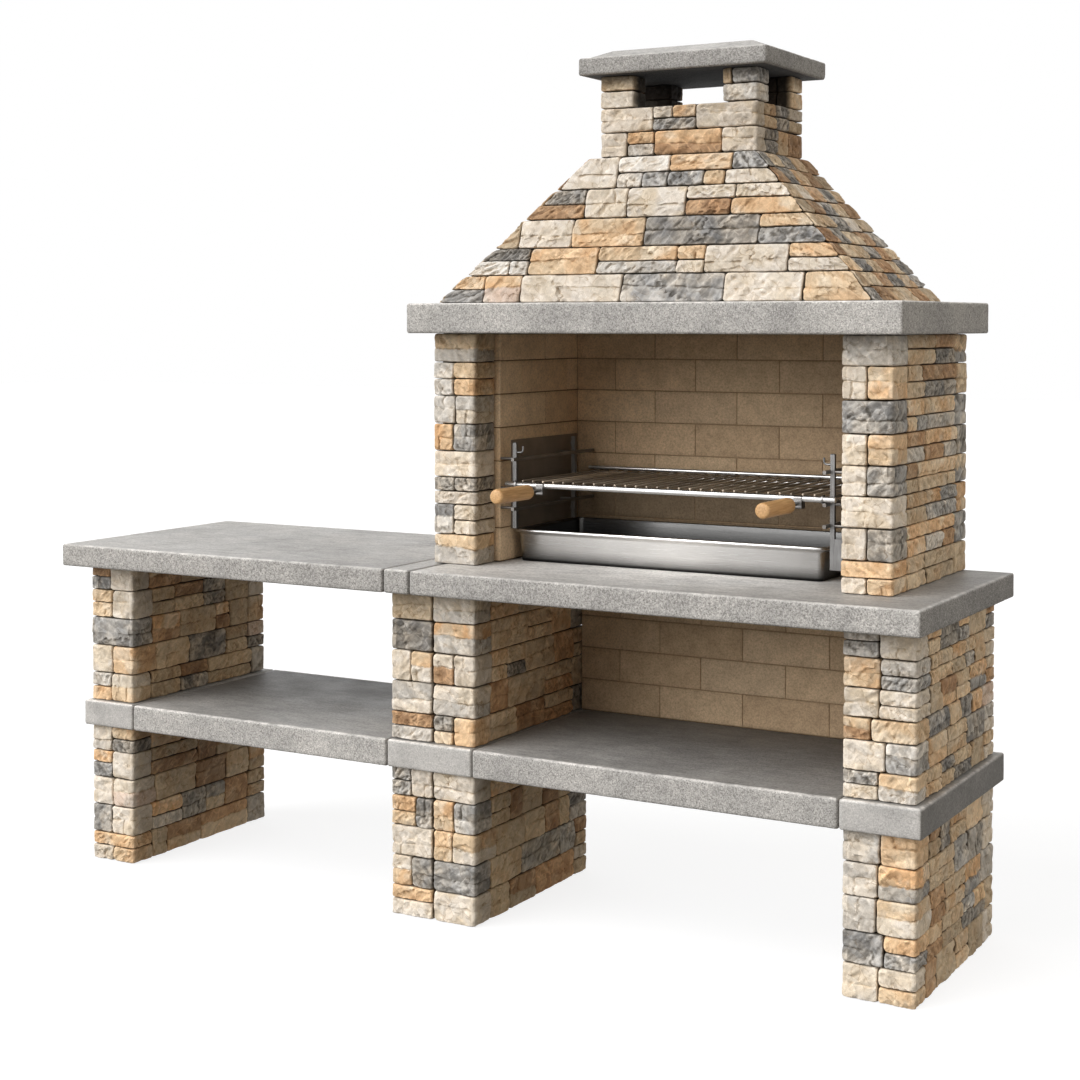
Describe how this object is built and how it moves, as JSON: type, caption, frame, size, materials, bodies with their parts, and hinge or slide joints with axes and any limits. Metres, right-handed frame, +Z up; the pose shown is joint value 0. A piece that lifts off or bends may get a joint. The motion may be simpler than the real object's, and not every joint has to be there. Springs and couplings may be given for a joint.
{
  "type": "masonry barbecue",
  "caption": "Stone-clad masonry barbecue with a side table, shelves, a brick-lined firebox under a hood and chimney, and a grill and charcoal pan that draw forward.",
  "frame": {"origin": "middle of the footprint box, on the ground", "axes": "+X from the side table to the firebox side, +Y from the front to the back, +Z up"},
  "size_m": [2.328, 0.7, 2.056],
  "materials": {
    "stone_masonry": "matte",
    "concrete": "matte",
    "firebrick": "matte",
    "mortar": "matte",
    "pan_steel": "satin",
    "grill_steel": "satin",
    "rack_steel": "satin",
    "grip_wood": "satin"
  },
  "bodies": {
    "masonry": {"back_lining_bricks": "firebrick", "back_lining_mortar": "mortar", "chimney_cap": "concrete", "chimney_posts_front": "stone_masonry", "chimney_posts_rear": "stone_masonry", "chimney_stack": "stone_masonry", "firebox_back_panel": "concrete", "hood_front": "stone_masonry", "hood_left": "stone_masonry", "hood_rear": "stone_masonry", "hood_right": "stone_masonry", "left_band": "concrete", "left_leg_lower": "stone_masonry", "left_leg_upper": "stone_masonry", "left_lining_bricks": "firebrick", "left_pillar": "stone_masonry", "left_rack_plate": "rack_steel", "left_rack_posts": "rack_steel", "left_rack_rungs": "rack_steel", "lintel_slab": "concrete", "lower_back_bricks": "firebrick", "lower_back_mortar": "mortar", "lower_back_panel": "concrete", "main_shelf": "concrete", "main_worktop": "concrete", "middle_band": "concrete", "middle_left_leg_lower": "stone_masonry", "middle_left_leg_upper": "stone_masonry", "middle_right_leg_lower": "stone_masonry", "middle_right_leg_upper": "stone_masonry", "rack_hooks": "rack_steel", "rack_screws": "rack_steel", "rack_standoffs": "rack_steel", "right_band": "concrete", "right_leg_lower": "stone_masonry", "right_leg_upper": "stone_masonry", "right_lining_bricks": "firebrick", "right_pillar": "stone_masonry", "right_rack_drop_plate": "rack_steel", "right_rack_plate": "rack_steel", "right_rack_posts": "rack_steel", "right_rack_rungs": "rack_steel", "side_lining_mortar": "mortar", "table_shelf": "concrete", "table_top": "concrete", "worktop_infill": "concrete"},
    "grill": {"grill_back_rail": "grill_steel", "grill_bars": "grill_steel", "grill_collars": "grill_steel", "grill_cross_rod": "grill_steel", "grill_front_rail": "grill_steel", "grill_left_grip": "grip_wood", "grill_left_handle_bracket": "grill_steel", "grill_left_handle_shank": "grill_steel", "grill_rear_rail": "grill_steel", "grill_right_grip": "grip_wood", "grill_right_handle_bracket": "grill_steel", "grill_right_handle_shank": "grill_steel", "grill_side_bars": "grill_steel"},
    "charcoal_pan": {"charcoal_pan": "pan_steel"}
  },
  "joints": [
    {"name": "grill_slide", "type": "slide", "parent": "masonry", "child": "grill", "axis": [0, -1, 0], "range_m": [0, 0.15]},
    {"name": "pan_slide", "type": "slide", "parent": "masonry", "child": "charcoal_pan", "axis": [0, -1, 0], "range_m": [0, 0.25]}
  ]
}
